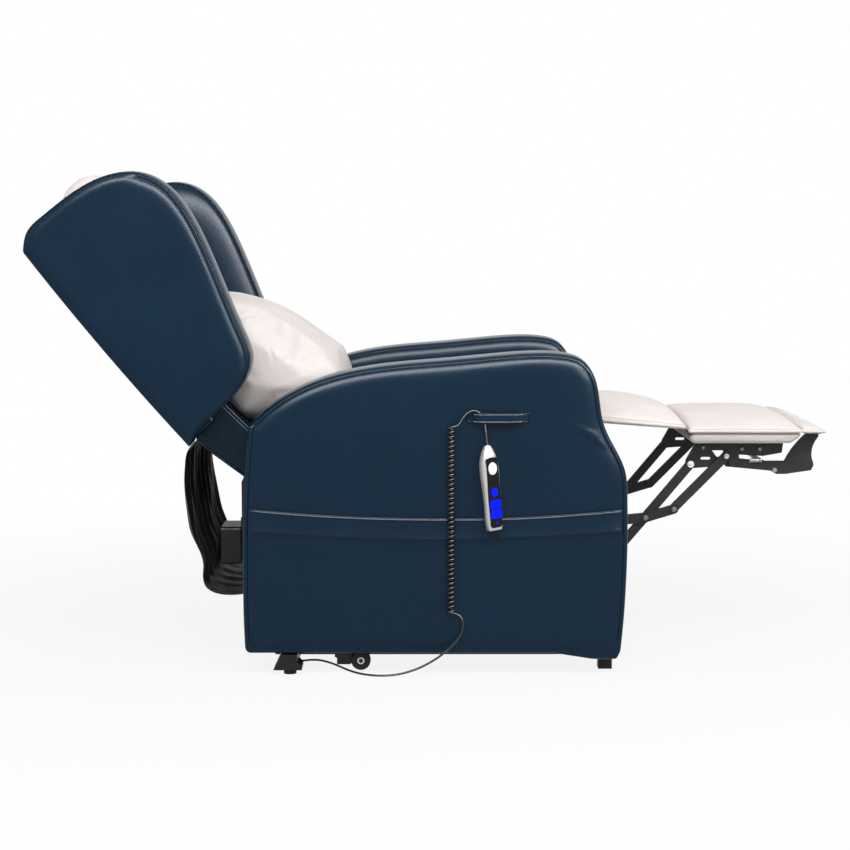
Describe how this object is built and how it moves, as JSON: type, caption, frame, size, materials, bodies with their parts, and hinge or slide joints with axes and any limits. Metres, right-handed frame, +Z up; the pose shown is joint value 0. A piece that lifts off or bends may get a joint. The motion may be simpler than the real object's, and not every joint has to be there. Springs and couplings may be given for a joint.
{
  "type": "lift recliner chair",
  "caption": "Powered lift and recline armchair, shown reclined with its legrest out, with winged back, padded arms and a corded hand control.",
  "frame": {"origin": "on the floor, at the middle of the whole object in plan, without its cord", "axes": "+X to the front of the chair, towards the feet; +Y to the sitter's left; +Z up"},
  "size_m": [1.6336, 0.8191, 1.0217],
  "materials": {
    "blue_leather": "satin dark blue grained leather",
    "pale_leather": "satin off-white grained leather",
    "black_cloth": "thin black lining cloth",
    "board": "pale laminated board",
    "dark_steel": "black powder coat",
    "bright_steel": "zinc plate",
    "control_case": "grey moulded plastic",
    "black_plastic": "black moulded plastic",
    "key_plastic": "pale moulded keys",
    "key_lit": "keys lit blue from behind",
    "lamp": "blue lens",
    "cord": "black vinyl",
    "plug": "clear moulded plug",
    "wheel": "black rubber"
  },
  "bodies": {
    "floor_frame": {"base_frame": "dark_steel", "lift_mount": "dark_steel", "base_glides": "black_plastic", "rear_boots": "black_plastic", "wheel_brackets": "dark_steel", "cord_lower": "cord", "cord_plug": "plug"},
    "wheel_left": {"transport_wheel_left": "wheel"},
    "wheel_right": {"transport_wheel_right": "wheel"},
    "lift_motor": {"lift_actuator_housing": "black_plastic"},
    "lift_rod": {"lift_actuator_rod": "bright_steel"},
    "lift_arm_frame": {"lift_arms": "dark_steel", "lift_tube": "dark_steel"},
    "chair_frame": {"side_panel_left": "blue_leather", "side_panel_right": "blue_leather", "seat_rails": "dark_steel", "lift_hangers": "dark_steel", "frame_brackets": "dark_steel", "seat_tubes": "dark_steel", "seat_deck": "board", "seat_border": "blue_leather", "seat_cushion": "pale_leather", "control_box": "black_plastic", "control_box_bracket": "dark_steel", "rear_curtain": "black_cloth", "back_actuator_housing": "black_plastic", "leg_actuator_housing": "black_plastic", "control_body": "control_case", "control_face": "black_plastic", "control_lamp": "lamp", "control_strap": "blue_leather", "cord_boot": "cord", "cord_upper": "cord", "cord_curls": "cord"},
    "home_button": {"home_key": "key_plastic"},
    "memory_button": {"memory_key": "key_lit"},
    "raise_button": {"raise_key": "key_lit"},
    "lower_button": {"lower_key": "key_lit"},
    "back_rod": {"back_actuator_rod": "bright_steel"},
    "leg_rod": {"leg_actuator_rod": "bright_steel"},
    "backrest": {"back_shell": "blue_leather", "wing_left": "blue_leather", "wing_right": "blue_leather", "lumbar_cushion": "pale_leather", "shoulder_cushion": "pale_leather", "head_cushion": "pale_leather"},
    "calf_flap": {"calf_pad": "pale_leather"},
    "footboard": {"crease_hinge": "dark_steel", "footrest_board": "pale_leather", "footrest_pad": "pale_leather", "footrest_brackets": "dark_steel", "bracket_bolts": "bright_steel", "foot_springs": "bright_steel"},
    "foot_frame": {"foot_arms": "dark_steel", "foot_arm_rod": "bright_steel", "foot_pad": "pale_leather"},
    "leg_arm_frame": {"leg_arms": "dark_steel", "leg_arm_tube": "dark_steel"},
    "cross_link_pair": {"cross_links": "dark_steel"},
    "toggle_link_pair": {"toggle_links": "dark_steel"}
  },
  "joints": [
    {"name": "lift_arm_swing", "type": "hinge", "parent": "floor_frame", "child": "lift_arm_frame", "pos_m": [-0.2932, 0.0195, 0.075], "axis": [0, -1, 0], "range_deg": [0, 30.05]},
    {"name": "chair_tilt", "type": "hinge", "parent": "lift_arm_frame", "child": "chair_frame", "pos_m": [0.1918, 0.0195, 0.085], "axis": [0, 1, 0], "range_deg": [0, 48]},
    {"name": "lift_motor_tilt", "type": "hinge", "parent": "floor_frame", "child": "lift_motor", "pos_m": [0.1168, 0.0195, 0.054], "axis": [0, 1, 0], "range_deg": [0, 17.21]},
    {"name": "lift_rod_slide", "type": "slide", "parent": "lift_motor", "child": "lift_rod", "axis": [-0.9704, 0, 0.2414], "range_m": [0, 0.07806]},
    {"name": "back_rise", "type": "hinge", "parent": "chair_frame", "child": "backrest", "pos_m": [-0.34109, 0.0195, 0.46094], "axis": [0, 1, 0], "range_deg": [0, 32]},
    {"name": "back_rod_slide", "type": "slide", "parent": "chair_frame", "child": "back_rod", "axis": [-0.992, 0, 0.126], "range_m": [0, 0.05543]},
    {"name": "calf_fold", "type": "hinge", "parent": "chair_frame", "child": "calf_flap", "pos_m": [0.3348, 0.0195, 0.504], "axis": [0, 1, 0], "range_deg": [0, 84.05]},
    {"name": "footboard_fold", "type": "hinge", "parent": "calf_flap", "child": "footboard", "pos_m": [0.5268, 0.0195, 0.484], "axis": [0, 1, 0], "range_deg": [0, 5.96]},
    {"name": "leg_arm_swing", "type": "hinge", "parent": "chair_frame", "child": "leg_arm_frame", "pos_m": [0.2668, 0.0195, 0.3442], "axis": [0, 1, 0], "range_deg": [0, 112.96]},
    {"name": "cross_link_fold", "type": "hinge", "parent": "leg_arm_frame", "child": "cross_link_pair", "pos_m": [0.4468, 0.0195, 0.297], "axis": [0, 1, 0], "range_deg": [-105.65, 0]},
    {"name": "toggle_link_fold", "type": "hinge", "parent": "leg_arm_frame", "child": "toggle_link_pair", "pos_m": [0.5058, 0.0195, 0.315], "axis": [0, 1, 0], "range_deg": [-100.87, 0]},
    {"name": "leg_rod_slide", "type": "slide", "parent": "chair_frame", "child": "leg_rod", "axis": [0.9991, 0, 0.0428], "range_m": [-0.08346, 0]},
    {"name": "foot_pad_give", "type": "hinge", "parent": "footboard", "child": "foot_frame", "pos_m": [0.6328, 0.0195, 0.414], "axis": [0, 1, 0], "range_deg": [0, 12], "stiffness_Nm_per_rad": 20, "springref_deg": -20.05},
    {"name": "wheel_spin_left", "type": "hinge", "parent": "floor_frame", "child": "wheel_left", "pos_m": [-0.1492, 0.3675, 0.024], "axis": [0, 1, 0], "continuous": true},
    {"name": "wheel_spin_right", "type": "hinge", "parent": "floor_frame", "child": "wheel_right", "pos_m": [-0.1492, -0.3285, 0.024], "axis": [0, 1, 0], "continuous": true},
    {"name": "home_press", "type": "slide", "parent": "chair_frame", "child": "home_button", "axis": [-0.5711, 0.8192, -0.053], "range_m": [0, 0.001], "stiffness_N_per_m": 400, "springref_m": -0.001},
    {"name": "memory_press", "type": "slide", "parent": "chair_frame", "child": "memory_button", "axis": [-0.5711, 0.8192, -0.053], "range_m": [0, 0.001], "stiffness_N_per_m": 400, "springref_m": -0.001},
    {"name": "raise_press", "type": "slide", "parent": "chair_frame", "child": "raise_button", "axis": [-0.5711, 0.8192, -0.053], "range_m": [0, 0.001], "stiffness_N_per_m": 400, "springref_m": -0.001},
    {"name": "lower_press", "type": "slide", "parent": "chair_frame", "child": "lower_button", "axis": [-0.5711, 0.8192, -0.053], "range_m": [0, 0.001], "stiffness_N_per_m": 400, "springref_m": -0.001}
  ],
  "couplings": [
    {"joint": "lift_arm_swing", "follows": "chair_tilt", "ratio": 0.625},
    {"joint": "lift_motor_tilt", "follows": "chair_tilt", "ratio": 0.35757},
    {"joint": "lift_rod_slide", "follows": "chair_tilt", "m_per_rad": 0.092937},
    {"joint": "back_rod_slide", "follows": "back_rise", "m_per_rad": 0.09889},
    {"joint": "footboard_fold", "follows": "calf_fold", "ratio": 0.07075},
    {"joint": "leg_arm_swing", "follows": "calf_fold", "ratio": 1.3436},
    {"joint": "cross_link_fold", "follows": "calf_fold", "ratio": -1.2565},
    {"joint": "toggle_link_fold", "follows": "calf_fold", "ratio": -1.1997},
    {"joint": "leg_rod_slide", "follows": "calf_fold", "m_per_rad": -0.056755}
  ]
}
